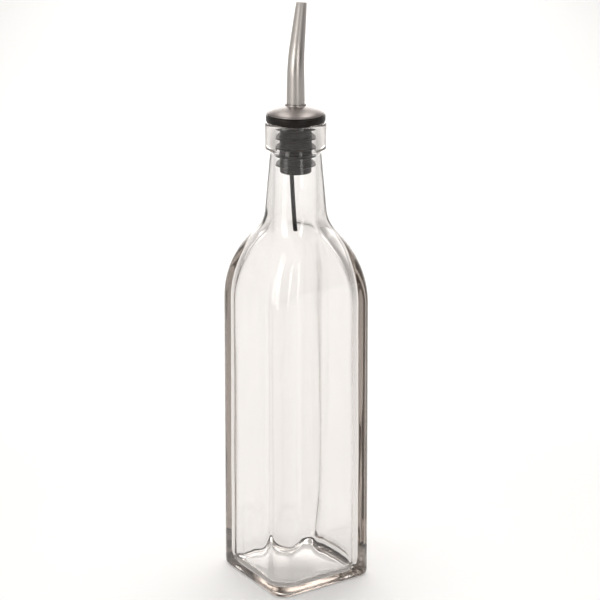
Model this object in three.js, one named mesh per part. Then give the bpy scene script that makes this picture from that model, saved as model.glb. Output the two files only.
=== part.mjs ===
// Square glass oil and vinegar bottle with a steel pourer.
// Millimetres, +Z up. The origin is the middle of the base, on the surface that the bottle stands on.
// The flat sides of the glass face +X, -X, +Y and -Y.
import * as THREE from "three";

// Glass body
const SIDE = 60.3; // across the flats at the heel
const DRAFT = 0.7; // how far each flat leans in by the top of the straight sides
const CORNER_RADIUS = 8; // upright edges, outside
const INNER_CORNER_RADIUS = 11; // upright edges, inside
const WALL = 4.3; // flat sides
const BODY_TOP = 154; // height where the straight sides end
const HEEL_RADIUS = 2.5; // outside edge of the base
const BEARING_WIDTH = 4; // flat band that the bottle stands on
const PUNT_DEPTH = 1.5; // hollow under the middle of the base
const FLOOR_EDGE = 2.5; // height of the floor inside, at its edge
const FLOOR_MIDDLE = 5; // and in its middle
const FLOOR_RADIUS = 4; // inside edge between floor and sides

// Glass shoulder, neck and finish
const SHOULDER_RADIUS = 50; // bulging sweep, along a corner of the body
const NECK_SWEEP_RADIUS = 19.5; // hollow sweep from the shoulder into the neck
const NECK_LENGTH = 31.3;
const NECK_SPREAD = 2.9; // how much wider the neck is at its foot than at its top
const NECK_WALL = 2.5; // at the top of the neck
const NECK_FOOT_WALL = 4.5; // at the foot of the neck
const BORE_RADIUS = 10.5; // mouth
const FINISH_WALL = 5.15; // thick ring round the mouth
const FINISH_HEIGHT = 15;
const FINISH_EDGE = 2; // rounded lower edge of the ring
const LIP_EDGE = 1.3; // rounded outer edge of the lip
const MOUTH_EDGE = 0.8; // rounded inner edge of the lip

// Stopper
const FLANGE_RADIUS = 15.2;
const FLANGE_THICKNESS = 3.6;
const FLANGE_EDGE = 0.7;
const CORE_RADIUS = 8.2;
const PLUG_LENGTH = 26.2; // below the lip of the glass
const TAIL_CHAMFER = 0.5;
const FIN_COUNT = 5;
const FIRST_FIN = 3.3; // from the lip down to the root of the first fin
const FIN_PITCH = 4.8;
const FIN_ROOT = 1.5; // thickness where a fin leaves the core
const FIN_TIP = 0.6; // thickness at its rim
const FIN_LIFT = 0.8; // how far the rim is bent up above the root

// Spout
const SPOUT_RADIUS = 4.6; // where it stands in the stopper
const SPOUT_TIP_RADIUS = 2.7;
const SPOUT_WALL = 0.6;
const TAPER_POWER = 1.6; // the tube narrows slowly at first
const SPIGOT_DEPTH = 20; // from the top of the flange down into the stopper
const SPIGOT_BEAD = 0.45; // rolled bead that keeps the spigot in the stopper
const BEAD_WIDTH = 2;
const BEAD_FROM_END = 4;
const BEND_START = 22; // above the lip of the glass
const BEND_RADIUS = 36;
const BEND_ANGLE = THREE.MathUtils.degToRad(28);
const TIP_LENGTH = 22; // straight stretch after the bend
const TIP_CUT = THREE.MathUtils.degToRad(16); // slant of the cut end
const SPOUT_HEADING = THREE.MathUtils.degToRad(45); // it pours over a corner of the body

// Collar
const SHEET = 0.5;
const COLLAR_SETBACK = 0.6; // how far its rim stands in from the edge of the flange
const COLLAR_RIM = 0.5; // upright edge under the dome
const DOME_RISE = 4.4;
const DOME_FULLNESS = 0.7; // 0.5 is half an ellipse, 1 is a parabola
const COLLAR_NECK_RADIUS = 0.8; // hollow sweep from the dome up to the spout

// Vent tube
const VENT_RADIUS = 1.1;
const VENT_BORE_RADIUS = 0.6;
const VENT_DROP = 32.3; // below the stopper
const VENT_SHORT_OF_TIP = 9;
const VENT_SIDE = THREE.MathUtils.degToRad(135); // side of the spout's bore that it lies on, from the heading
const VENT_END_OFFSET = 0.5; // its lower end hangs near the middle of the neck

// Clearances
const SEAT_GAP = 0.25; // between faces that rest on each other
const TURN_GAP = 0.2; // round the spigot in the stopper
const BRAZE_GAP = 0.15; // between collar and spout
const FIN_GAP = 0.3; // between the fins and the mouth
const VENT_GAP = 0.3; // between the vent tube and the bore that it lies against

// Facets
const FLAT_STEPS = 3; // on half a flat side of the body
const CORNER_STEPS = 4; // on half an upright edge
const ARC_STEPS = 3; // on a small rounded edge
const SWEEP_STEPS = 6; // on each sweep of the shoulder
const ROUND_SIDES = 40;
const SPOUT_SIDES = 24;
const VENT_SIDES = 10;
const BEND_STEPS = 8;
const DOME_STEPS = 6;
const MOUND_SHARES = [0, 0.25, 0.55]; // rings on the base, from its edge towards its middle

// Places worked out from the sizes above
const halfSide = SIDE / 2;
const halfTop = halfSide - DRAFT;
const neckTopRadius = BORE_RADIUS + NECK_WALL;
const neckFootRadius = neckTopRadius + NECK_SPREAD;
const innerFootRadius = neckFootRadius - NECK_FOOT_WALL;
const finishRadius = BORE_RADIUS + FINISH_WALL;
const outerSweep = shoulderSweep(
  cornerReach(halfTop, CORNER_RADIUS),
  neckFootRadius,
  SHOULDER_RADIUS,
  NECK_SWEEP_RADIUS,
  Math.atan(NECK_SPREAD / NECK_LENGTH),
);
const innerSweep = shoulderSweep(
  cornerReach(halfTop - WALL, INNER_CORNER_RADIUS),
  innerFootRadius,
  SHOULDER_RADIUS,
  NECK_SWEEP_RADIUS + NECK_FOOT_WALL,
  Math.atan((innerFootRadius - BORE_RADIUS) / NECK_LENGTH),
);
const neckTop = BODY_TOP + outerSweep.rise + NECK_LENGTH;
const lip = neckTop + FINISH_HEIGHT;
const flangeTop = lip + SEAT_GAP + FLANGE_THICKNESS;
const plugBottom = lip - PLUG_LENGTH;
const spigotEnd = flangeTop - SPIGOT_DEPTH;
const beadMiddle = spigotEnd + BEAD_FROM_END;
const spoutBore = SPOUT_RADIUS - SPOUT_WALL;
const collarRadius = FLANGE_RADIUS - COLLAR_SETBACK;
const rimBottom = flangeTop + SEAT_GAP;
const rimTop = rimBottom + COLLAR_RIM;
const collarBore = SPOUT_RADIUS + BRAZE_GAP;
const collarTop = rimTop + domeHeight(collarBore + SHEET + COLLAR_NECK_RADIUS) + COLLAR_NECK_RADIUS;

// How far the corner of a rounded square lies from its middle.
function cornerReach(half, radius) {
  return (half - radius) * Math.SQRT2 + radius;
}

// The shoulder seen along a corner: a bulging arc that leaves the straight side, then a hollow arc that
// ends at the foot of the neck, where the wall still leans in by lean.
// Each point holds its reach from the axis and its rise above the straight side.
function shoulderSweep(reach, footRadius, bulge, hollow, lean) {
  const steepest = Math.acos((bulge + hollow * Math.cos(lean) - (reach - footRadius)) / (bulge + hollow));
  const middle = { reach: reach - bulge * (1 - Math.cos(steepest)), rise: bulge * Math.sin(steepest) };
  const points = [];
  for (let i = 1; i <= SWEEP_STEPS; i++) {
    const angle = (steepest * i) / SWEEP_STEPS;
    points.push({ reach: reach - bulge * (1 - Math.cos(angle)), rise: bulge * Math.sin(angle) });
  }
  for (let i = 1; i <= SWEEP_STEPS; i++) {
    const angle = steepest + ((lean - steepest) * i) / SWEEP_STEPS;
    points.push({
      reach: middle.reach - hollow * (Math.cos(angle) - Math.cos(steepest)),
      rise: middle.rise + hollow * (Math.sin(steepest) - Math.sin(angle)),
    });
  }
  return { points, rise: points[points.length - 1].rise, reach, footRadius };
}

// Height of a dome above its rim at a distance from the axis.
function domeHeight(distance, radius = collarRadius, rise = DOME_RISE) {
  return rise * (1 - (distance / radius) ** 2) ** DOME_FULLNESS;
}

// A closed skin over rings of points, each ring anticlockwise about the way that the rings advance.
// A ring of one point closes an end. With wraps, the last ring joins the first, as on a tube with a bore.
function skinOver(rings, wraps = false) {
  const starts = [];
  const positions = [];
  for (const ring of rings) {
    starts.push(positions.length / 3);
    for (const point of ring) positions.push(point.x, point.y, point.z);
  }
  const index = [];
  const bands = wraps ? rings.length : rings.length - 1;
  for (let i = 0; i < bands; i++) {
    const k = (i + 1) % rings.length;
    const sides = Math.max(rings[i].length, rings[k].length);
    for (let j = 0; j < sides; j++) {
      const next = (j + 1) % sides;
      const [a, b] = rings[i].length > 1 ? [starts[i] + j, starts[i] + next] : [starts[i], starts[i]];
      const [d, c] = rings[k].length > 1 ? [starts[k] + j, starts[k] + next] : [starts[k], starts[k]];
      if (a !== b) index.push(a, b, c);
      if (c !== d) index.push(a, c, d);
    }
  }
  const geometry = new THREE.BufferGeometry();
  geometry.setAttribute("position", new THREE.Float32BufferAttribute(positions, 3));
  geometry.setIndex(index);
  geometry.computeVertexNormals();
  return geometry;
}

// Directions round the glass, close together over the upright edges of the body.
function glassDirections() {
  const edge = Math.atan2(halfSide - CORNER_RADIUS, halfSide);
  const eighth = [];
  for (let i = 0; i < FLAT_STEPS; i++) eighth.push((edge * i) / FLAT_STEPS);
  for (let i = 0; i < CORNER_STEPS; i++) eighth.push(edge + ((Math.PI / 4 - edge) * i) / CORNER_STEPS);
  const quarter = [...eighth, Math.PI / 4, ...eighth.slice(1).reverse().map((angle) => Math.PI / 2 - angle)];
  return [0, 1, 2, 3].flatMap((turn) => quarter.map((angle) => angle + (turn * Math.PI) / 2));
}

// A rounded square across the axis. With its corner radius equal to its half width it is a circle.
function squareRing(directions, half, radius, z) {
  const inset = half - radius;
  return directions.map((angle) => {
    const along = Math.max(Math.abs(Math.cos(angle)), Math.abs(Math.sin(angle)));
    const across = Math.min(Math.abs(Math.cos(angle)), Math.abs(Math.sin(angle)));
    const toCentre = inset * (along + across);
    const onFlat = (half * across) / along <= inset;
    const reach = onFlat ? half / along : toCentre + Math.sqrt(toCentre ** 2 - 2 * inset ** 2 + radius ** 2);
    return new THREE.Vector3(reach * Math.cos(angle), reach * Math.sin(angle), z);
  });
}

// Points of a quarter arc about a middle, from one angle to another, ends included.
function arcPoints(x, z, radius, from, to, steps = ARC_STEPS) {
  return Array.from({ length: steps + 1 }, (_, i) => {
    const angle = from + ((to - from) * i) / steps;
    return { x: x + radius * Math.cos(angle), z: z + radius * Math.sin(angle) };
  });
}

// The bottle is one blown piece: a square body with a hollow base, a shoulder that turns the square into
// a round neck, and a thick ring round the mouth. Its rings run up the outside and down the inside.
function glassBottle() {
  const around = glassDirections();
  const square = (half, radius, z) => squareRing(around, half, radius, z);
  const circle = ({ x, z }) => squareRing(around, x, x, z);
  const shoulder = (sweep, half, radius) =>
    sweep.points.map((point) => {
      const share = (point.reach - sweep.footRadius) / (sweep.reach - sweep.footRadius);
      const blend = (from) => sweep.footRadius + (from - sweep.footRadius) * share;
      return square(blend(half), blend(radius), BODY_TOP + point.rise);
    });
  const inset = (half, radius, by, z) => square(half - by, Math.max(radius - by, CORNER_RADIUS / 4), z);

  // Rings of a low mound over a rounded square, from its edge towards its middle.
  const mound = (half, radius, bottom, top) =>
    MOUND_SHARES.map((share) => {
      const rise = (top - bottom) * (1 - (1 - share) ** 2);
      return square(half * (1 - share), radius + (half - radius) * share, bottom + rise);
    });

  const standing = HEEL_RADIUS + BEARING_WIDTH;
  const base = [
    [new THREE.Vector3(0, 0, PUNT_DEPTH)],
    ...mound(halfSide - standing, CORNER_RADIUS / 4, 0, PUNT_DEPTH).reverse(),
  ];
  const heel = arcPoints(halfSide - HEEL_RADIUS, HEEL_RADIUS, HEEL_RADIUS, -Math.PI / 2, 0).map(({ x, z }) =>
    inset(halfSide, CORNER_RADIUS, halfSide - x, z),
  );
  const outside = [square(halfTop, CORNER_RADIUS, BODY_TOP), ...shoulder(outerSweep, halfTop, CORNER_RADIUS)];
  const finish = [
    { x: neckTopRadius, z: neckTop },
    ...arcPoints(finishRadius - FINISH_EDGE, neckTop + FINISH_EDGE, FINISH_EDGE, -Math.PI / 2, 0),
    ...arcPoints(finishRadius - LIP_EDGE, lip - LIP_EDGE, LIP_EDGE, 0, Math.PI / 2),
    ...arcPoints(BORE_RADIUS + MOUTH_EDGE, lip - MOUTH_EDGE, MOUTH_EDGE, Math.PI / 2, Math.PI),
    { x: BORE_RADIUS, z: neckTop },
  ].map(circle);
  const inside = [
    ...shoulder(innerSweep, halfTop - WALL, INNER_CORNER_RADIUS).reverse(),
    square(halfTop - WALL, INNER_CORNER_RADIUS, BODY_TOP),
  ];
  const innerHalf = halfSide - WALL;
  const floorHalf = innerHalf - FLOOR_RADIUS;
  const floor = [
    ...arcPoints(floorHalf, FLOOR_EDGE + FLOOR_RADIUS, FLOOR_RADIUS, 0, -Math.PI / 2)
      .slice(0, -1)
      .map(({ x, z }) => inset(innerHalf, INNER_CORNER_RADIUS, innerHalf - x, z)),
    ...mound(floorHalf, INNER_CORNER_RADIUS - FLOOR_RADIUS, FLOOR_EDGE, FLOOR_MIDDLE),
    [new THREE.Vector3(0, 0, FLOOR_MIDDLE)],
  ];
  return skinOver([...base, ...heel, ...outside, ...finish, ...inside, ...floor]);
}

// A solid of revolution about the axis of the bottle, from a closed outline of radius and height.
function turned(outline) {
  const points = outline.getPoints(ARC_STEPS);
  const geometry = new THREE.LatheGeometry(points, ROUND_SIDES);
  geometry.rotateX(Math.PI / 2);
  return geometry;
}

// The stopper: a flange that rests on the lip, a core with soft fins that grip the mouth, and a stepped
// passage with a socket for the spout's spigot and a groove for the spigot's bead.
function stopperPlug() {
  const finRadius = BORE_RADIUS - FIN_GAP;
  const socket = SPOUT_RADIUS + TURN_GAP;
  const socketFloor = spigotEnd - SEAT_GAP;
  const groove = socket + SPIGOT_BEAD;
  const grooveHalf = BEAD_WIDTH / 2 + TURN_GAP;
  const flangeEdge = FLANGE_RADIUS - FLANGE_EDGE;
  const flangeBottom = flangeTop - FLANGE_THICKNESS;

  const outline = new THREE.Path();
  outline.moveTo(spoutBore, plugBottom);
  outline.lineTo(CORE_RADIUS - TAIL_CHAMFER, plugBottom);
  outline.lineTo(CORE_RADIUS, plugBottom + TAIL_CHAMFER);
  for (let i = FIN_COUNT - 1; i >= 0; i--) {
    const root = lip - FIRST_FIN - i * FIN_PITCH;
    outline.lineTo(CORE_RADIUS, root - FIN_ROOT / 2);
    outline.lineTo(finRadius, root + FIN_LIFT - FIN_TIP / 2);
    outline.lineTo(finRadius, root + FIN_LIFT + FIN_TIP / 2);
    outline.lineTo(CORE_RADIUS, root + FIN_ROOT / 2);
  }
  outline.lineTo(CORE_RADIUS, flangeBottom);
  outline.lineTo(flangeEdge, flangeBottom);
  outline.absarc(flangeEdge, flangeBottom + FLANGE_EDGE, FLANGE_EDGE, -Math.PI / 2, 0);
  outline.absarc(flangeEdge, flangeTop - FLANGE_EDGE, FLANGE_EDGE, 0, Math.PI / 2);
  outline.lineTo(socket + TAIL_CHAMFER, flangeTop);
  outline.lineTo(socket, flangeTop - TAIL_CHAMFER);
  outline.lineTo(socket, beadMiddle + grooveHalf);
  outline.lineTo(groove, beadMiddle + grooveHalf - SPIGOT_BEAD);
  outline.lineTo(groove, beadMiddle - grooveHalf + SPIGOT_BEAD);
  outline.lineTo(socket, beadMiddle - grooveHalf);
  outline.lineTo(socket, socketFloor);
  outline.lineTo(spoutBore, socketFloor);
  outline.closePath();
  return turned(outline);
}

// The collar: a thin pressed dome with an upright rim that stands on the stopper's flange, and a neck
// drawn up round the spout.
function collarDome() {
  const sweepX = collarBore + SHEET + COLLAR_NECK_RADIUS;
  const dome = (radius, rise) =>
    Array.from({ length: DOME_STEPS + 1 }, (_, i) => {
      const distance = radius * Math.cos((Math.acos(sweepX / radius) * i) / DOME_STEPS);
      return new THREE.Vector2(distance, rimTop + domeHeight(distance, radius, rise));
    });

  const outline = new THREE.Path();
  outline.moveTo(collarRadius - SHEET, rimBottom);
  outline.lineTo(collarRadius, rimBottom);
  for (const point of dome(collarRadius, DOME_RISE)) outline.lineTo(point.x, point.y);
  outline.absarc(sweepX, collarTop, COLLAR_NECK_RADIUS, -Math.PI / 2, -Math.PI, true);
  outline.lineTo(collarBore, collarTop);
  outline.absarc(sweepX, collarTop, COLLAR_NECK_RADIUS + SHEET, -Math.PI, -Math.PI / 2);
  for (const point of dome(collarRadius - SHEET, DOME_RISE - SHEET).reverse()) outline.lineTo(point.x, point.y);
  outline.closePath();
  return turned(outline);
}

// The middle line of the spout, by its height along the line above the lip of the glass. It rises on the
// axis, bends over towards +X and ends straight. Below the bend it carries on down the axis.
function spoutLine(along) {
  const bendLength = BEND_RADIUS * BEND_ANGLE;
  const turn = THREE.MathUtils.clamp((along - BEND_START) / BEND_RADIUS, 0, BEND_ANGLE);
  const before = Math.min(along, BEND_START);
  const after = Math.max(along - BEND_START - bendLength, 0);
  const forward = new THREE.Vector3(Math.sin(turn), 0, Math.cos(turn));
  const heading = new THREE.Vector3(Math.cos(turn), 0, -Math.sin(turn));
  const middle = new THREE.Vector3(
    BEND_RADIUS * (1 - Math.cos(turn)) + after * forward.x,
    0,
    lip + before + BEND_RADIUS * Math.sin(turn) + after * forward.z,
  );
  return { middle, forward, heading };
}

const spoutTip = BEND_START + BEND_RADIUS * BEND_ANGLE + TIP_LENGTH; // along the middle line, above the lip

// Outside radius of the spout: even up to the top of the collar, then narrowing to the tip.
function spoutRadius(along) {
  const start = collarTop - lip;
  const share = Math.max(along - start, 0) / (spoutTip - start);
  return SPOUT_RADIUS - (SPOUT_RADIUS - SPOUT_TIP_RADIUS) * share ** TAPER_POWER;
}

// A ring of points square to the spout's middle line, off the line by offset towards a side of it.
// A slant leans the ring over towards the heading, as at a cut end.
function lineRing(along, radius, sides, { offset = 0, side = 0, slant = 0 } = {}) {
  const { middle, forward, heading } = spoutLine(along);
  const across = new THREE.Vector3(0, 1, 0);
  return Array.from({ length: sides }, (_, i) => {
    const angle = (2 * Math.PI * i) / sides;
    const x = radius * Math.cos(angle) + offset * Math.cos(side);
    const y = radius * Math.sin(angle) + offset * Math.sin(side);
    return middle
      .clone()
      .addScaledVector(heading, x)
      .addScaledVector(across, y)
      .addScaledVector(forward, x * Math.tan(slant));
  });
}

// The spout: a drawn steel tube whose spigot stands in the stopper, tapered and bent over, with a slant cut.
function pourSpout() {
  const beadRing = beadMiddle - lip;
  const bead = [
    { along: beadRing - BEAD_WIDTH / 2, radius: SPOUT_RADIUS },
    { along: beadRing - BEAD_WIDTH / 2 + SPIGOT_BEAD, radius: SPOUT_RADIUS + SPIGOT_BEAD },
    { along: beadRing + BEAD_WIDTH / 2 - SPIGOT_BEAD, radius: SPOUT_RADIUS + SPIGOT_BEAD },
    { along: beadRing + BEAD_WIDTH / 2, radius: SPOUT_RADIUS },
  ];
  const stations = [collarTop - lip, (collarTop - lip + BEND_START) / 2];
  for (let i = 0; i <= BEND_STEPS; i++) stations.push(BEND_START + (BEND_RADIUS * BEND_ANGLE * i) / BEND_STEPS);
  stations.push(spoutTip - TIP_LENGTH / 2, spoutTip - 2 * SPOUT_TIP_RADIUS);

  const ring = (along, radius, slant = 0) => lineRing(along, radius, SPOUT_SIDES, { slant });
  const end = spigotEnd - lip;
  const outside = [
    ring(end, SPOUT_RADIUS),
    ...bead.map(({ along, radius }) => ring(along, radius)),
    ...stations.map((along) => ring(along, spoutRadius(along))),
    ring(spoutTip, SPOUT_TIP_RADIUS, TIP_CUT),
  ];
  const inside = [
    ring(spoutTip, SPOUT_TIP_RADIUS - SPOUT_WALL, TIP_CUT),
    ...stations.reverse().map((along) => ring(along, spoutRadius(along) - SPOUT_WALL)),
    ring(end, spoutBore),
  ];
  return skinOver([...outside, ...inside], true);
}

// The vent tube: it lets air into the bottle while the liquid runs out. It lies against one side of the
// spout's bore, follows the bend, and hangs out of the stopper with its lower end near the middle of the neck.
function ventTube() {
  const inletOffset = spoutBore - VENT_RADIUS - VENT_GAP;
  const inlet = plugBottom - lip;
  const offsetAt = (along) => {
    const drop = (inlet - along) / VENT_DROP;
    const hugging = spoutRadius(along) - SPOUT_WALL - VENT_RADIUS - VENT_GAP;
    return along > inlet ? hugging : THREE.MathUtils.lerp(inletOffset, VENT_END_OFFSET, drop);
  };
  const top = spoutTip - VENT_SHORT_OF_TIP;
  const stations = [inlet - VENT_DROP, inlet, collarTop - lip];
  for (let i = 0; i <= BEND_STEPS; i++) stations.push(BEND_START + (BEND_RADIUS * BEND_ANGLE * i) / BEND_STEPS);
  stations.push(top);
  const ring = (along, radius) => lineRing(along, radius, VENT_SIDES, { offset: offsetAt(along), side: VENT_SIDE });
  const outside = stations.map((along) => ring(along, VENT_RADIUS));
  const inside = stations.reverse().map((along) => ring(along, VENT_BORE_RADIUS));
  return skinOver([...outside, ...inside], true);
}

function piece(name, geometry, material) {
  const mesh = new THREE.Mesh(geometry, material);
  mesh.name = name;
  return mesh;
}

const clearGlass = new THREE.MeshStandardMaterial({
  color: 0xf2efeb,
  roughness: 0.03,
  metalness: 0,
  transparent: true,
  opacity: 0.3,
});
const blackRubber = new THREE.MeshStandardMaterial({ color: 0x2b2624, roughness: 0.45, metalness: 0 });
const blackPlastic = new THREE.MeshStandardMaterial({ color: 0x0c0b0b, roughness: 0.4, metalness: 0 });
const polishedSteel = new THREE.MeshStandardMaterial({ color: 0xb9b2ab, roughness: 0.2, metalness: 1 });
const satinSteel = new THREE.MeshStandardMaterial({ color: 0xb0a7a4, roughness: 0.38, metalness: 1 });

// The steel spout, its collar and the vent tube turn together in the stopper.
const spoutGroup = new THREE.Group();
spoutGroup.rotation.z = SPOUT_HEADING;
spoutGroup.add(
  piece("pour_spout", pourSpout(), polishedSteel),
  piece("collar_dome", collarDome(), satinSteel),
  piece("vent_tube", ventTube(), blackPlastic),
);

const bottle = new THREE.Group();
bottle.add(
  piece("glass_bottle", glassBottle(), clearGlass),
  piece("stopper_plug", stopperPlug(), blackRubber),
  spoutGroup,
);

export default bottle;
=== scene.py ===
import math

import bpy
from mathutils import Matrix, Vector, noise


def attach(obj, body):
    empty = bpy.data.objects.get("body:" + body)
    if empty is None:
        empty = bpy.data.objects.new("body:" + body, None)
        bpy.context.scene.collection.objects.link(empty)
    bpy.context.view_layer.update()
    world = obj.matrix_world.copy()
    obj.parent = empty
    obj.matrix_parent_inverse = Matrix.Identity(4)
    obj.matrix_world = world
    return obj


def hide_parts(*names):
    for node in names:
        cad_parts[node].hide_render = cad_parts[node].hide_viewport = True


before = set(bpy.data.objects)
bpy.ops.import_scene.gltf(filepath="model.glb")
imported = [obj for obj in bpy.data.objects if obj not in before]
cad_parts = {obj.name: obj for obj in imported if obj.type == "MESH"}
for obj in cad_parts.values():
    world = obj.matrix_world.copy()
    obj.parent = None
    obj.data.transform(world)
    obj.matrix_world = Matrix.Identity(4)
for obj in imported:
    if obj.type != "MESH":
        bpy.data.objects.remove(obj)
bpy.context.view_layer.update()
scene = bpy.context.scene

# Sizes are in millimetres and become metres when a mesh is made.
MM = 0.001

# Glass. Its finish is the thick ring round the mouth.
SIDE = 60.3
DRAFT = 0.7
CORNER_RADIUS = 8.0
INNER_CORNER_RADIUS = 11.0
LEAST_CORNER_RADIUS = 2.0
WALL = 4.3
BODY_TOP = 154.0
HEEL_RADIUS = 2.5
BEARING_WIDTH = 4.0
PUNT_DEPTH = 2.4
FLOOR_EDGE = 2.5
FLOOR_MIDDLE = 5.0
FLOOR_RADIUS = 7.0
SHOULDER_RADIUS = 50.0
NECK_SWEEP_RADIUS = 19.5
NECK_LENGTH = 31.3
NECK_SPREAD = 2.9
NECK_WALL = 2.5
NECK_FOOT_WALL = 4.5
NECK_FILLET = 0.5
BORE_RADIUS = 10.5
FINISH_WALL = 5.15
FINISH_HEIGHT = 15.0
FINISH_EDGE = 2.0
LIP_EDGE = 1.3
MOUTH_EDGE = 0.8

# Waves on the blown inside of the glass: how far they stray, and their length around and along the bottle
INNER_WAVE = 0.22
BROAD_WAVE = (13.0, 48.0)
NARROW_WAVE = (5.0, 30.0)
NARROW_SHARE = 0.5
FADE_BELOW_PLUG = 34.0
FADE_ABOVE_FLOOR = 6.0

# Stopper
FLANGE_RADIUS = 15.2
FLANGE_THICKNESS = 3.6
FLANGE_EDGE = 0.7
CORE_RADIUS = 8.2
CORE_FILLET = 0.6
PLUG_LENGTH = 26.2
PLUG_EDGE = 0.5
PASSAGE_EDGE = 0.3
FIN_COUNT = 5
FIRST_FIN = 3.3
FIN_PITCH = 4.8
FIN_ROOT = 1.5
FIN_TIP = 0.6
FIN_TIP_EDGE = 0.28
FIN_LIFT = 0.8
FIN_UNDER_FILLET = 0.35
FIN_GAP = 0.06
SOCKET_EDGE = 0.4
SOCKET_FILLET = 0.2
GROOVE_EDGE = 0.1

# Spout
SPOUT_RADIUS = 4.6
SPOUT_TIP_RADIUS = 2.7
SPOUT_WALL = 0.6
TAPER_POWER = 1.6
SPIGOT_DEPTH = 20.0
SPIGOT_EDGE = 0.15
SPIGOT_BORE_EDGE = 0.1
SPIGOT_BEAD = 0.45
BEAD_WIDTH = 2.0
BEAD_FROM_END = 4.0
BEND_START = 22.0
BEND_RADIUS = 36.0
BEND_ANGLE = math.radians(28)
TIP_LENGTH = 22.0
TIP_CUT = math.radians(16)
TIP_CUT_REACH = 3.2
SPOUT_HEADING = math.radians(45)

# The rounded edge of the spout's tip, from outside to inside: steps inwards, and drops below the end
TIP_EDGE = ((0.0, 0.22), (0.06, 0.06), (0.2, 0.0), (SPOUT_WALL - 0.2, 0.0), (SPOUT_WALL, 0.2))

# Collar
SHEET = 0.5
COLLAR_SETBACK = 0.6
COLLAR_RIM = 0.5
DOME_RISE = 4.4
DOME_FULLNESS = 0.7
DOME_CROWDING = 1.4
COLLAR_NECK_RADIUS = 0.8
SEAM_GAP = 0.03
SEAM_RISE = 0.25

# Vent tube
VENT_RADIUS = 1.1
VENT_BORE_RADIUS = 0.6
VENT_EDGE = 0.2
VENT_EDGE_MIDDLE = 0.06
VENT_DROP = 32.3
VENT_SHORT_OF_TIP = 9.0
VENT_SIDE = math.radians(135)
VENT_END_OFFSET = 0.5

# How far the next ring lies from a change of shape on the spout and the vent tube
RING_STEP = 1.0

# Clearances
SEAT_GAP = 0.25
TURN_GAP = 0.2
VENT_GAP = 0.3
BRAZE_GAP = 0.15

# Colours
GLASS_TINT = (0.65, 0.60, 0.56)
GLASS_TINT_DENSITY = 46.0
RUBBER = (0.008, 0.0045, 0.0025)
RUBBER_DUST = (0.019, 0.0125, 0.008)
SATIN_STEEL = (0.285, 0.258, 0.246)
POLISHED_STEEL = (0.55, 0.518, 0.49)
STEEL_SHADE = 0.9
PLASTIC = (0.004, 0.004, 0.004)
PLASTIC_STREAK = (0.012, 0.011, 0.011)
FLOOR_WHITE = (0.93, 0.93, 0.93)
FLOOR_MOTTLE = (0.95, 0.95, 0.95)

# The photograph's camera
CAMERA_AZIMUTH = math.radians(-33.3)
CAMERA_ELEVATION = math.radians(18.33)
CAMERA_DISTANCE = 1016.95
CAMERA_AIM = 154.07
CAMERA_SIDESTEP = 2.19
SENSOR = 36
LENS = 116.46

# The studio's walls: bearings in degrees from straight behind the bottle as the camera sees it, with the
# brightness there. Dark sides draw the edges of the glass.
WALLS = (
    (-180, 0.10),
    (-145, 0.10),
    (-135, 1.10),
    (-95, 1.10),
    (-85, 0.60),
    (-45, 0.60),
    (-25, 1.80),
    (-12, 4.20),
    (12, 4.20),
    (25, 1.80),
    (45, 0.55),
    (85, 0.50),
    (105, 0.10),
    (180, 0.10),
)

# The ceiling's brightness, and the heights of a unit vector between which the walls pass into it
CEILING = 0.58
CEILING_START = 0.35
CEILING_FULL = 0.7
WARMTH = (1.0, 0.98, 0.96)

# Floor and lights, in metres
FLOOR_REACH = 6.0
STRIPS_BEHIND = 1.55
STRIPS_ASIDE = 0.2

# A pool of light painted on the floor as a glow: its strength, how far its middle lies in front of the
# bottle, and the distances from there at which it starts to fade and ends
PAINTED_POOL_GLOW = 0.19
POOL_AHEAD = 0.2
POOL_FULL = 0.1
POOL_END = 0.42


def corner_reach(half, radius):
    """How far the corner of a rounded square lies from its middle."""
    return (half - radius) * math.sqrt(2) + radius


def spread(first, last, steps):
    """Even steps from first to last, both included."""
    return [first + (last - first) * i / steps for i in range(steps + 1)]


def arc(x, z, radius, start, end, steps):
    """Points of an arc about (x, z)."""
    return [(x + radius * math.cos(a), z + radius * math.sin(a)) for a in spread(start, end, steps)]


def shoulder_sweep(reach, foot, bulge, hollow, lean, steps=22):
    """The shoulder along a corner: a bulging arc, then a hollow one that ends at the foot of the neck."""
    steepest = math.acos((bulge + hollow * math.cos(lean) - (reach - foot)) / (bulge + hollow))
    points = []
    for a in spread(0, steepest, steps)[1:]:
        points.append((reach - bulge * (1 - math.cos(a)), bulge * math.sin(a)))
    middle = points[-1]
    for a in spread(steepest, lean, steps)[1:]:
        inward = hollow * (math.cos(a) - math.cos(steepest))
        rise = hollow * (math.sin(steepest) - math.sin(a))
        points.append((middle[0] - inward, middle[1] + rise))
    return points


def dome_height(distance, radius, rise):
    """The height of the collar's dome at a distance from the axis."""
    return rise * max(1 - (distance / radius) ** 2, 0) ** DOME_FULLNESS


# Sizes that follow from the ones above

HALF = SIDE / 2
HALF_TOP = HALF - DRAFT
NECK_TOP_RADIUS = BORE_RADIUS + NECK_WALL
NECK_FOOT_RADIUS = NECK_TOP_RADIUS + NECK_SPREAD
INNER_FOOT_RADIUS = NECK_FOOT_RADIUS - NECK_FOOT_WALL
FINISH_RADIUS = BORE_RADIUS + FINISH_WALL
OUTER_SWEEP = shoulder_sweep(
    corner_reach(HALF_TOP, CORNER_RADIUS),
    NECK_FOOT_RADIUS,
    SHOULDER_RADIUS,
    NECK_SWEEP_RADIUS,
    math.atan(NECK_SPREAD / NECK_LENGTH),
)
INNER_SWEEP = shoulder_sweep(
    corner_reach(HALF_TOP - WALL, INNER_CORNER_RADIUS),
    INNER_FOOT_RADIUS,
    SHOULDER_RADIUS,
    NECK_SWEEP_RADIUS,
    math.atan((INNER_FOOT_RADIUS - BORE_RADIUS) / NECK_LENGTH),
)
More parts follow.
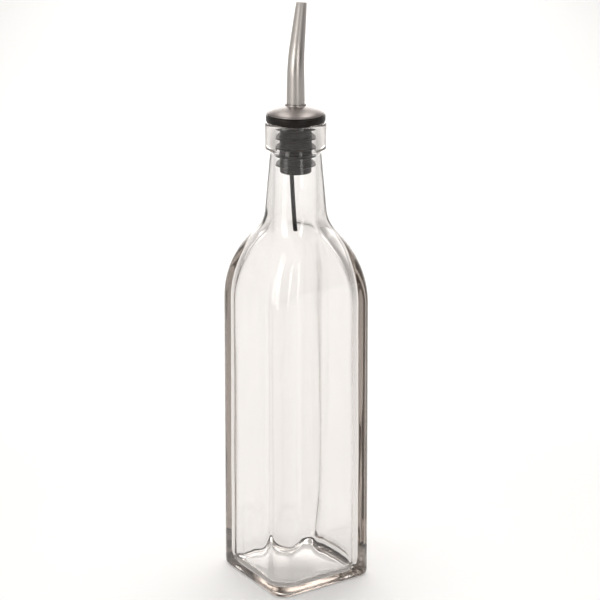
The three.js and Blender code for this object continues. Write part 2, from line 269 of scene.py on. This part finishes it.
NECK_FOOT = BODY_TOP + OUTER_SWEEP[-1][1]
INNER_NECK_FOOT = BODY_TOP + INNER_SWEEP[-1][1]
NECK_TOP = NECK_FOOT + NECK_LENGTH
LIP = NECK_TOP + FINISH_HEIGHT
FLANGE_TOP = LIP + SEAT_GAP + FLANGE_THICKNESS
PLUG_BOTTOM = LIP - PLUG_LENGTH
SPIGOT_END = FLANGE_TOP - SPIGOT_DEPTH
BEAD_MIDDLE = SPIGOT_END + BEAD_FROM_END
SPOUT_BORE = SPOUT_RADIUS - SPOUT_WALL
RIM_BOTTOM = FLANGE_TOP + SEAT_GAP
RIM_TOP = RIM_BOTTOM + COLLAR_RIM
COLLAR_BORE = SPOUT_RADIUS + BRAZE_GAP
COLLAR_RADIUS = FLANGE_RADIUS - COLLAR_SETBACK
SWEEP_X = COLLAR_BORE + SHEET + COLLAR_NECK_RADIUS
COLLAR_TOP = RIM_TOP + dome_height(SWEEP_X, COLLAR_RADIUS, DOME_RISE) + COLLAR_NECK_RADIUS

# Lengths along the spout's middle line, counted from the lip
TAPER_START = COLLAR_TOP - LIP
SPOUT_TIP = BEND_START + BEND_RADIUS * BEND_ANGLE + TIP_LENGTH
VENT_INLET = PLUG_BOTTOM - LIP


# Meshes


def add_object(name, data):
    """A new object in the scene."""
    thing = bpy.data.objects.new(name, data)
    scene.collection.objects.link(thing)
    return thing


def ring_mesh(name, rings, wraps=False):
    """A closed smooth mesh over rings of points. A ring of one point closes an end."""
    starts, points, faces = [], [], []
    for ring in rings:
        starts.append(len(points))
        points.extend(Vector(p) * MM for p in ring)
    for i in range(len(rings) if wraps else len(rings) - 1):
        k = (i + 1) % len(rings)
        sides = max(len(rings[i]), len(rings[k]))
        for j in range(sides):
            n = (j + 1) % sides
            low = [starts[i] + j, starts[i] + n] if len(rings[i]) > 1 else [starts[i]]
            high = [starts[k] + n, starts[k] + j] if len(rings[k]) > 1 else [starts[k]]
            faces.append(low + high)
    mesh = bpy.data.meshes.new(name)
    mesh.from_pydata(points, [], faces)
    mesh.shade_smooth()
    return add_object(name, mesh)


def turned_mesh(name, outline, sides=144):
    """A solid of revolution about the bottle's axis from a closed outline of (radius, height) points."""
    angles = [2 * math.pi * j / sides for j in range(sides)]
    rings = [[(r * math.cos(a), r * math.sin(a), z) for a in angles] for r, z in outline]
    return ring_mesh(name, rings, wraps=True)


def rounded(corners, step=math.radians(12), straight=math.radians(2)):
    """A closed outline of (radius, height, rounding) corners with each corner rounded off by an arc."""
    points = []
    for i, (x, z, rounding) in enumerate(corners):
        here = Vector((x, z))
        before = (Vector(corners[i - 1][:2]) - here).normalized()
        after = (Vector(corners[(i + 1) % len(corners)][:2]) - here).normalized()
        half = before.angle(after) / 2
        turn = math.pi - 2 * half
        if rounding == 0 or turn < straight:
            points.append((x, z))
            continue
        middle = here + (before + after).normalized() * (rounding / math.sin(half))
        start = here + before * (rounding / math.tan(half)) - middle
        sign = 1 if before.x * after.y - before.y * after.x < 0 else -1
        steps = max(2, math.ceil(turn / step))
        for a in spread(0, sign * turn, steps):
            spoke = Matrix.Rotation(a, 2) @ start
            points.append(tuple(middle + spoke))
    return points


# Glass bottle


def glass_directions(flat_steps=12, corner_steps=10):
    """Angles round the axis, closer together at the corners of the square."""
    edge = math.atan2(HALF - CORNER_RADIUS, HALF)
    eighth = spread(0, edge, flat_steps)[:-1] + spread(edge, math.pi / 4, corner_steps)[:-1]
    quarter = eighth + [math.pi / 4] + [math.pi / 2 - a for a in reversed(eighth[1:])]
    return [a + turn * math.pi / 2 for turn in range(4) for a in quarter]


AROUND = glass_directions()

# Where the rings of a mound lie, as shares of the way from its edge to the point in its middle
MOUND_SHARES = spread(0, 0.95, steps=18)


def wave(x, y, z, lengths):
    """Smooth noise at a point, by its lengths around and along the bottle."""
    around, along = lengths
    return noise.noise(Vector((x / around, y / around, z / along)))


def wander(x, y, z):
    """How far the blown inside of the wall strays at a point, fading out at the stopper and the floor."""
    below_plug = (PLUG_BOTTOM - z) / FADE_BELOW_PLUG
    above_floor = (z - FLOOR_EDGE) / FADE_ABOVE_FLOOR
    fade = max(min(below_plug, above_floor, 1), 0)
    return INNER_WAVE * fade * (wave(x, y, z, BROAD_WAVE) + NARROW_SHARE * wave(x, y, z, NARROW_WAVE))


def square_ring(half, radius, z, blown=False):
    """A rounded square across the axis. A blown ring wanders along its radius."""
    radius = min(radius, half)
    inset = half - radius
    ring = []
    for a in AROUND:
        along, across = sorted((abs(math.cos(a)), abs(math.sin(a))), reverse=True)
        if half * across / along <= inset:
            reach = half / along
        else:
            middle = inset * (along + across)
            reach = middle + math.sqrt(max(middle**2 - 2 * inset**2 + radius**2, 0))
        x, y = reach * math.cos(a), reach * math.sin(a)
        stretch = 1 + wander(x, y, z) / reach if blown else 1
        ring.append((x * stretch, y * stretch, z))
    return ring


def inset_ring(half, radius, by, z, blown=False):
    """A rounded square moved inwards, whose corners stay a little round."""
    return square_ring(half - by, max(radius - by, LEAST_CORNER_RADIUS), z, blown)


def mound_rings(half, radius, bottom, top):
    """Rings of a low mound on a rounded square, from its edge to its middle."""
    rings = []
    for share in MOUND_SHARES:
        z = bottom + (top - bottom) * (1 - (1 - share) ** 2)
        rings.append(square_ring(half * (1 - share), radius + (half - radius) * share, z))
    return rings + [[(0, 0, top)]]


def body_rings(half, half_top, radius, bottom, blown=False, steps=40):
    """Rings up the body, which draws in a little towards its top."""
    rings = []
    for z in spread(bottom, BODY_TOP, steps):
        lean = (half_top - half) * (z - bottom) / (BODY_TOP - bottom)
        rings.append(square_ring(half + lean, radius, z, blown))
    return rings


def shoulder_rings(sweep, foot, half, radius, blown=False):
    """Rings up the shoulder, from the body's rounded square to the circle at the foot of the neck."""
    reach = corner_reach(half, radius)
    rings = []
    for distance, rise in sweep:
        share = (distance - foot) / (reach - foot)
        blended = [foot + (size - foot) * share for size in (half, radius)]
        rings.append(square_ring(*blended, BODY_TOP + rise, blown))
    return rings


def neck_rings(start, end, steps, blown=False):
    """Circles between two (radius, height) ends, without the ends."""
    rings = []
    for share in spread(0, 1, steps)[1:-1]:
        radius = start[0] + (end[0] - start[0]) * share
        rings.append(square_ring(radius, radius, start[1] + (end[1] - start[1]) * share, blown))
    return rings


def mouth_rings():
    """The thick ring round the mouth, from the top of the neck over the lip and down the bore."""
    corners = [
        (NECK_TOP_RADIUS, NECK_TOP, NECK_FILLET),
        (FINISH_RADIUS, NECK_TOP, FINISH_EDGE),
        (FINISH_RADIUS, LIP, LIP_EDGE),
        (BORE_RADIUS, LIP, MOUTH_EDGE),
        (BORE_RADIUS, NECK_TOP, 0),
    ]
    # A last corner down the neck only gives the first one its direction, and is left out again.
    below = (NECK_TOP_RADIUS, NECK_FOOT, 0)
    return [square_ring(r, r, z) for r, z in rounded(corners + [below])[:-1]]


def outside_rings():
    """The outside of the glass, from the middle of the hollow base to the top of the neck."""
    standing = HALF - HEEL_RADIUS - BEARING_WIDTH
    rings = mound_rings(standing, LEAST_CORNER_RADIUS, 0, PUNT_DEPTH)[::-1]
    for x, z in arc(HALF - HEEL_RADIUS, HEEL_RADIUS, HEEL_RADIUS, -math.pi / 2, 0, steps=9)[1:]:
        rings.append(inset_ring(HALF, CORNER_RADIUS, HALF - x, z))
    rings += body_rings(HALF, HALF_TOP, CORNER_RADIUS, HEEL_RADIUS)[1:]
    rings += shoulder_rings(OUTER_SWEEP, NECK_FOOT_RADIUS, HALF_TOP, CORNER_RADIUS)
    rings += neck_rings((NECK_FOOT_RADIUS, NECK_FOOT), (NECK_TOP_RADIUS, NECK_TOP), steps=14)
    return rings


def inside_rings():
    """The blown inside of the glass, from the top of the neck to the middle of the mounded floor."""
    half, half_top = HALF - WALL, HALF_TOP - WALL
    corner = INNER_CORNER_RADIUS
    wall_foot = FLOOR_EDGE + FLOOR_RADIUS
    floor_half = half - FLOOR_RADIUS
    neck_foot = (INNER_FOOT_RADIUS, INNER_NECK_FOOT)
    rings = neck_rings((BORE_RADIUS, NECK_TOP), neck_foot, steps=16, blown=True)
    rings += reversed(shoulder_rings(INNER_SWEEP, INNER_FOOT_RADIUS, half_top, corner, blown=True))
    rings += reversed(body_rings(half, half_top, corner, wall_foot, blown=True))
    for x, z in arc(floor_half, wall_foot, FLOOR_RADIUS, 0, -math.pi / 2, steps=12)[1:-1]:
        rings.append(inset_ring(half, corner, half - x, z, blown=True))
    return rings + mound_rings(floor_half, corner - FLOOR_RADIUS, FLOOR_EDGE, FLOOR_MIDDLE)


def glass_piece():
    return ring_mesh("bottle_glass", outside_rings() + mouth_rings() + inside_rings())


# Stopper, by the (radius, height, rounding) corners of its outline


def fin_corners(root):
    """A fin that leans upwards, from its underside to its upper side."""
    radius = BORE_RADIUS - FIN_GAP
    tip = root + FIN_LIFT
    return [
        (CORE_RADIUS, root - FIN_ROOT / 2, FIN_UNDER_FILLET),
        (radius, tip - FIN_TIP / 2, FIN_TIP_EDGE),
        (radius, tip + FIN_TIP / 2, FIN_TIP_EDGE),
        (CORE_RADIUS, root + FIN_ROOT / 2, CORE_FILLET),
    ]


def flange_corners():
    bottom = FLANGE_TOP - FLANGE_THICKNESS
    return [
        (CORE_RADIUS, bottom, CORE_FILLET),
        (FLANGE_RADIUS, bottom, FLANGE_EDGE),
        (FLANGE_RADIUS, FLANGE_TOP, FLANGE_EDGE),
    ]


def socket_corners():
    """The socket for the spigot from the flange down, with a groove for the bead and a step at its end."""
    radius = SPOUT_RADIUS + TURN_GAP
    groove = radius + SPIGOT_BEAD
    half = BEAD_WIDTH / 2 + TURN_GAP
    step = SPIGOT_END - SEAT_GAP
    return [
        (radius, FLANGE_TOP, SOCKET_EDGE),
        (radius, BEAD_MIDDLE + half, GROOVE_EDGE),
        (groove, BEAD_MIDDLE + half - SPIGOT_BEAD, SOCKET_FILLET),
        (groove, BEAD_MIDDLE - half + SPIGOT_BEAD, SOCKET_FILLET),
        (radius, BEAD_MIDDLE - half, GROOVE_EDGE),
        (radius, step, SOCKET_FILLET),
        (SPOUT_BORE, step, SOCKET_FILLET),
    ]


def stopper_piece():
    corners = [(SPOUT_BORE, PLUG_BOTTOM, PASSAGE_EDGE), (CORE_RADIUS, PLUG_BOTTOM, PLUG_EDGE)]
    for i in reversed(range(FIN_COUNT)):
        corners += fin_corners(LIP - FIRST_FIN - i * FIN_PITCH)
    return turned_mesh("stopper_rubber", rounded(corners + flange_corners() + socket_corners()))


# Spout, collar and vent tube, made with the spout heading along +X and then turned


def turn_to_heading(piece):
    piece.data.transform(Matrix.Rotation(SPOUT_HEADING, 4, "Z"))
    return piece


def dome_points(radius, rise, steps=24):
    """A dome's outline from its rim inwards, with points closer together where it is steep."""
    end = math.acos(SWEEP_X / radius)
    distances = [radius * math.cos(end * share**DOME_CROWDING) for share in spread(0, 1, steps)]
    return [(d, RIM_TOP + dome_height(d, radius, rise)) for d in distances]


def collar_piece():
    rim = SHEET / 2
    seam = SPOUT_RADIUS + SEAM_GAP
    outline = arc(COLLAR_RADIUS - rim, RIM_BOTTOM + rim, rim, -math.pi, 0, steps=8)
    outline += dome_points(COLLAR_RADIUS, DOME_RISE)
    outline += arc(SWEEP_X, COLLAR_TOP, COLLAR_NECK_RADIUS, -math.pi / 2, -math.pi, steps=8)[1:]
    outline.append((seam, COLLAR_TOP + SEAM_RISE))
    outline += arc(SWEEP_X, COLLAR_TOP, SWEEP_X - seam, -math.pi, -math.pi / 2, steps=8)
    outline += reversed(dome_points(COLLAR_RADIUS - SHEET, DOME_RISE - SHEET))
    return turn_to_heading(turned_mesh("collar_steel", outline))


def spout_line(along):
    """The spout's middle line, by length above the lip: its point, its way forward and its heading."""
    turn = min(max((along - BEND_START) / BEND_RADIUS, 0), BEND_ANGLE)
    after = max(along - BEND_START - BEND_RADIUS * BEND_ANGLE, 0)
    forward = Vector((math.sin(turn), 0, math.cos(turn)))
    heading = Vector((math.cos(turn), 0, -math.sin(turn)))
    height = LIP + min(along, BEND_START) + BEND_RADIUS * math.sin(turn)
    middle = Vector((BEND_RADIUS * (1 - math.cos(turn)), 0, height))
    return middle + forward * after, forward, heading


def spout_radius(along):
    """The spout's outer radius, by length above the lip."""
    share = max(along - TAPER_START, 0) / (SPOUT_TIP - TAPER_START)
    return SPOUT_RADIUS - (SPOUT_RADIUS - SPOUT_TIP_RADIUS) * share**TAPER_POWER


def line_ring(along, radius, sides, offset=0.0, side=0.0, slant=0.0):
    """A circle across the spout's middle line, which may lie to one side of it or be cut at a slant."""
    middle, forward, heading = spout_line(along)
    ring = []
    for j in range(sides):
        a = 2 * math.pi * j / sides
        x = radius * math.cos(a) + offset * math.cos(side)
        y = radius * math.sin(a) + offset * math.sin(side)
        ring.append(middle + heading * x + Vector((0, y, 0)) + forward * (x * math.tan(slant)))
    return ring


def bead_sizes():
    """Lengths and radii over the bead that is rolled into the spigot."""
    sizes = []
    for s in spread(-1, 1, steps=10):
        swell = SPIGOT_BEAD * (1 + math.cos(math.pi * s)) / 2
        sizes.append((BEAD_MIDDLE - LIP + s * BEAD_WIDTH / 2, SPOUT_RADIUS + swell))
    return sizes


def spout_piece(sides=72):
    end = SPIGOT_END - LIP
    low, high = TAPER_START - RING_STEP, SPOUT_TIP - TIP_CUT_REACH
    outside = [(end, SPOUT_RADIUS - SPIGOT_EDGE), (end + SPIGOT_EDGE, SPOUT_RADIUS)]
    outside += bead_sizes()
    outside += [(a, spout_radius(a)) for a in spread(low, high, steps=70)]
    inside = [(a, spout_radius(a) - SPOUT_WALL) for a in spread(high, low, steps=40)]
    inside += [(end + SPIGOT_BORE_EDGE, SPOUT_BORE), (end, SPOUT_BORE + SPIGOT_BORE_EDGE)]
    rings = [line_ring(a, r, sides) for a, r in outside]
    for inward, drop in TIP_EDGE:
        rings.append(line_ring(SPOUT_TIP - drop, SPOUT_TIP_RADIUS - inward, sides, slant=TIP_CUT))
    rings += [line_ring(a, r, sides) for a, r in inside]
    return turn_to_heading(ring_mesh("spout_steel", rings, wraps=True))


def vent_offset(along):
    """How far the vent tube lies from the middle line. Below the stopper it drifts towards it."""
    beside_wall = spout_radius(along) - SPOUT_WALL - VENT_RADIUS - VENT_GAP
    drop = max(VENT_INLET - along, 0) / VENT_DROP
    return beside_wall + (VENT_END_OFFSET - beside_wall) * drop


def vent_piece(sides=28):
    low, top = VENT_INLET - VENT_DROP, SPOUT_TIP - VENT_SHORT_OF_TIP
    stations = spread(low + VENT_EDGE, VENT_INLET, steps=12)
    stations += spread(VENT_INLET + RING_STEP, top - VENT_EDGE, steps=60)
    sizes = [(low, VENT_RADIUS - VENT_EDGE), (low + VENT_EDGE_MIDDLE, VENT_RADIUS - VENT_EDGE_MIDDLE)]
    sizes += [(a, VENT_RADIUS) for a in stations]
    sizes += [(top, VENT_RADIUS - VENT_EDGE), (top, VENT_BORE_RADIUS)]
    sizes += [(a, VENT_BORE_RADIUS) for a in reversed(stations)]
    sizes.append((low, VENT_BORE_RADIUS))
    rings = [line_ring(a, r, sides, vent_offset(a), VENT_SIDE) for a, r in sizes]
    return turn_to_heading(ring_mesh("vent_plastic", rings, wraps=True))


# Materials


class Tree:
    """Short ways to add nodes to the node tree of a material or a world."""

    def __init__(self, owner):
        owner.use_nodes = True
        self.tree = owner.node_tree

    def add(self, kind, links=None, **values):
        """A new node with its properties, and with inputs that are linked to a socket or set to a value."""
        node = self.tree.nodes.new(kind)
        for key, value in values.items():
            setattr(node, key, value)
        for socket, source in (links or {}).items():
            if isinstance(source, bpy.types.NodeSocket):
                self.tree.links.new(source, node.inputs[socket])
            else:
                node.inputs[socket].default_value = source
        return node

    def ramp(self, source, low, high, start=0.3, end=0.7, easing="LINEAR"):
        """A value that goes from low to high while its source goes from start to end."""
        links = {"Value": source, "From Min": start, "From Max": end, "To Min": low, "To Max": high}
        return self.add("ShaderNodeMapRange", links, interpolation_type=easing).outputs[0]

    def colour(self, source, first, second):
        """A mix of two colours, each a tuple or a colour socket."""
        mix = self.add("ShaderNodeMix", {"Factor": source}, data_type="RGBA")
        for socket, value in zip([s for s in mix.inputs if s.type == "RGBA"], (first, second)):
            if isinstance(value, bpy.types.NodeSocket):
                self.tree.links.new(value, socket)
            else:
                socket.default_value = (*value, 1)
        return [s for s in mix.outputs if s.type == "RGBA"][0]


class Finish(Tree):
    """A material with a Principled shader whose details follow the piece's own coordinates."""

    def __init__(self, name):
        self.material = bpy.data.materials.new(name)
        super().__init__(self.material)
        self.shader = self.tree.nodes["Principled BSDF"]
        self.place = self.add("ShaderNodeTexCoord").outputs["Object"]

    def set(self, **values):
        for socket, value in values.items():
            self.shader.inputs[socket.replace("_", " ")].default_value = value

    def feed(self, socket, source):
        self.tree.links.new(source, self.shader.inputs[socket])

    def noise(self, scale, stretch=(1, 1, 1), detail=4.0, roughness=0.55):
        moved = self.add("ShaderNodeMapping", {"Vector": self.place, "Scale": stretch})
        links = {"Vector": moved.outputs[0], "Scale": scale, "Detail": detail, "Roughness": roughness}
        return self.add("ShaderNodeTexNoise", links).outputs["Fac"]

    def bump(self, source, strength, distance):
        node = self.add("ShaderNodeBump", {"Height": source, "Strength": strength, "Distance": distance})
        self.feed("Normal", node.outputs[0])


def glass_material():
    """Clear soda glass with a faint warm cast, a fire-polished skin and light smudges."""
    glass = Finish("clear_glass")
    glass.set(Base_Color=(1, 1, 1, 1), Transmission_Weight=1.0, IOR=1.5)
    smudge = glass.noise(scale=60, detail=5)
    glass.feed("Roughness", glass.ramp(smudge, low=0.0, high=0.02, start=0.45, end=0.75))
    skin = glass.noise(scale=45, stretch=(1, 1, 0.35), detail=2)
    glass.bump(skin, strength=0.05, distance=0.0005)
    links = {"Color": (*GLASS_TINT, 1), "Density": GLASS_TINT_DENSITY}
    tint = glass.add("ShaderNodeVolumeAbsorption", links)
    glass.tree.links.new(tint.outputs[0], glass.tree.nodes["Material Output"].inputs["Volume"])
    return glass.material


def steel_material(name, base, low, high, stretch):
    """Stainless steel with a cloudy shade, fine drawn or spun lines and a roughness from low to high."""
    steel = Finish(name)
    steel.set(Metallic=1.0)
    cloud = steel.noise(scale=90, detail=3)
    shade = tuple(c * STEEL_SHADE for c in base)
    steel.feed("Base Color", steel.colour(steel.ramp(cloud, low=0, high=1), shade, base))
    lines = steel.noise(scale=900, stretch=stretch, detail=3, roughness=0.6)
    steel.feed("Roughness", steel.ramp(lines, low, high))
    steel.bump(lines, strength=0.08, distance=0.0001)
    return steel.material


def rubber_material():
    """Moulded black rubber with a soft sheen and a trace of dust."""
    rubber = Finish("black_rubber")
    rubber.set(Specular_IOR_Level=0.25)
    dust = rubber.ramp(rubber.noise(scale=240, detail=5), low=0, high=1, start=0.45, end=0.8)
    rubber.feed("Base Color", rubber.colour(dust, RUBBER, RUBBER_DUST))
    rubber.feed("Roughness", rubber.ramp(rubber.noise(scale=400, detail=3), low=0.3, high=0.46))
    rubber.bump(rubber.noise(scale=1800, detail=2), strength=0.12, distance=0.0001)
    return rubber.material


def plastic_material():
    """Extruded black plastic, faintly streaked along its length."""
    plastic = Finish("black_plastic")
    streak = plastic.noise(scale=700, stretch=(1, 1, 0.04), detail=3)
    shade = plastic.ramp(streak, low=0, high=1)
    plastic.feed("Base Color", plastic.colour(shade, PLASTIC, PLASTIC_STREAK))
    plastic.feed("Roughness", plastic.ramp(streak, low=0.25, high=0.4))
    plastic.bump(streak, strength=0.06, distance=0.0001)
    return plastic.material


def floor_material():
    """A matt white sweep with a barely visible mottle and a painted pool of light: the floor glows softly
    in front of the bottle.
    """
    sweep = Finish("white_floor")
    sweep.set(Roughness=0.9, Specular_IOR_Level=0.1, Emission_Color=(*WARMTH, 1))
    sweep.feed("Base Color", sweep.colour(sweep.noise(scale=6), FLOOR_WHITE, FLOOR_MOTTLE))
    # Painted light: the floor glows in a soft pool round a point in front of the bottle
    links = {0: sweep.place, 1: -BEHIND * POOL_AHEAD}
    distance = sweep.add("ShaderNodeVectorMath", links, operation="DISTANCE").outputs["Value"]
    glow = sweep.ramp(distance, PAINTED_POOL_GLOW, 0, POOL_FULL, POOL_END, easing="SMOOTHSTEP")
    sweep.feed("Emission Strength", glow)
    return sweep.material


def dress(piece, material, body, node):
    """Gives a piece its material and the body it moves with, and hides the node it stands for."""
    piece.data.materials.append(material)
    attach(piece, body)
    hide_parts(node)


spun = steel_material("satin_steel", SATIN_STEEL, low=0.26, high=0.38, stretch=(0.2, 0.2, 3))
drawn = steel_material("polished_steel", POLISHED_STEEL, low=0.3, high=0.42, stretch=(1, 1, 0.03))
dress(glass_piece(), glass_material(), "bottle", "glass_bottle")
dress(stopper_piece(), rubber_material(), "stopper", "stopper_plug")
dress(collar_piece(), spun, "spout", "collar_dome")
dress(spout_piece(), drawn, "spout", "pour_spout")
dress(vent_piece(), plastic_material(), "spout", "vent_tube")


# Camera, floor and light


def direction(azimuth, elevation):
    """A unit vector by its elevation and its azimuth, which is counted from -Y."""
    level = math.cos(elevation)
    return Vector((math.sin(azimuth) * level, -math.cos(azimuth) * level, math.sin(elevation)))


TOWARD_CAMERA = direction(CAMERA_AZIMUTH, CAMERA_ELEVATION)
BEHIND = -direction(CAMERA_AZIMUTH, 0)
RIGHT = Vector((math.cos(CAMERA_AZIMUTH), math.sin(CAMERA_AZIMUTH), 0))


def studio_camera():
    data = bpy.data.cameras.new("camera")
    data.sensor_width = SENSOR
    data.lens = LENS
    data.clip_end = 100
    camera = add_object("camera", data)
    aim = Vector((0, 0, CAMERA_AIM))
    camera.location = (aim + TOWARD_CAMERA * CAMERA_DISTANCE + RIGHT * CAMERA_SIDESTEP) * MM
    camera.rotation_euler = TOWARD_CAMERA.to_track_quat("Z", "Y").to_euler()
    scene.camera = camera


def studio_floor():
    corners = [(x * FLOOR_REACH, y * FLOOR_REACH, 0) for x, y in ((-1, -1), (1, -1), (1, 1), (-1, 1))]
    mesh = bpy.data.meshes.new("floor")
    mesh.from_pydata(corners, [], [(0, 1, 2, 3)])
    mesh.materials.append(floor_material())
    floor = add_object("floor", mesh)


def studio_world():
    """Walls whose brightness changes with the bearing, under an even ceiling."""
    world = bpy.data.worlds.new("studio")
    scene.world = world
    studio = Tree(world)
    view = studio.add("ShaderNodeTexCoord").outputs["Generated"]
    links = {"Vector": view, "Angle": -CAMERA_AZIMUTH}
    turned = studio.add("ShaderNodeVectorRotate", links, rotation_type="Z_AXIS")
    split = studio.add("ShaderNodeSeparateXYZ", {"Vector": turned.outputs[0]}).outputs
    bearing = studio.add("ShaderNodeMath", {0: split["X"], 1: split["Y"]}, operation="ARCTAN2").outputs[0]
    walls = studio.add("ShaderNodeValToRGB", {"Fac": studio.ramp(bearing, 0, 1, -math.pi, math.pi)})
    stops = walls.color_ramp.elements
    while len(stops) < len(WALLS):
        stops.new(0.5)
    for stop, (degrees, level) in zip(stops, WALLS):
        stop.position = degrees / 360 + 0.5
        stop.color = (*(level * w for w in WARMTH), 1)
    above = studio.ramp(split["Z"], 0, 1, CEILING_START, CEILING_FULL)
    mixed = studio.colour(above, walls.outputs["Color"], tuple(CEILING * w for w in WARMTH))
    studio.tree.links.new(mixed, studio.tree.nodes["Background"].inputs["Color"])


def softbox(name, bearing, elevation, distance, size, power, beam, aim=(0, 0, 0.15), lights_floor=True):
    """A soft light that faces its aim. Its bearing is counted from the camera, to the right.

    One that does not light the floor is seen only in shiny and clear surfaces.
    """
    away = direction(CAMERA_AZIMUTH + math.radians(bearing), math.radians(elevation))
    lamp = bpy.data.lights.new(name, "AREA")
    lamp.shape = "RECTANGLE"
    lamp.size, lamp.size_y = size
    lamp.energy = power
    lamp.color = WARMTH
    lamp.spread = math.radians(beam)
    light = add_object(name, lamp)
    light.location = away * distance + Vector(aim)
    light.rotation_euler = away.to_track_quat("Z", "Y").to_euler()
    light.visible_diffuse = lights_floor


def studio_lights():
    """Two tall boxes in front for the gloss, and two long strips above the floor behind the bottle."""
    softbox("key", -44, 23, 1.1, size=(0.4, 1.1), power=1.3, beam=90, lights_floor=False)
    softbox("fill", 26, 21, 1.2, size=(0.25, 1.0), power=0.9, beam=90, lights_floor=False)
    for name, aside in (("left strip", -STRIPS_ASIDE), ("right strip", STRIPS_ASIDE)):
        aim = BEHIND * STRIPS_BEHIND + RIGHT * aside
        softbox(name, 180, 89, 0.7, size=(0.2, 3.2), power=2.65, beam=100, aim=aim)


studio_camera()
studio_floor()
studio_world()
studio_lights()
scene.view_settings.view_transform = "Standard"
scene.cycles.max_bounces = 32
scene.cycles.glossy_bounces = 24
scene.cycles.transmission_bounces = 24
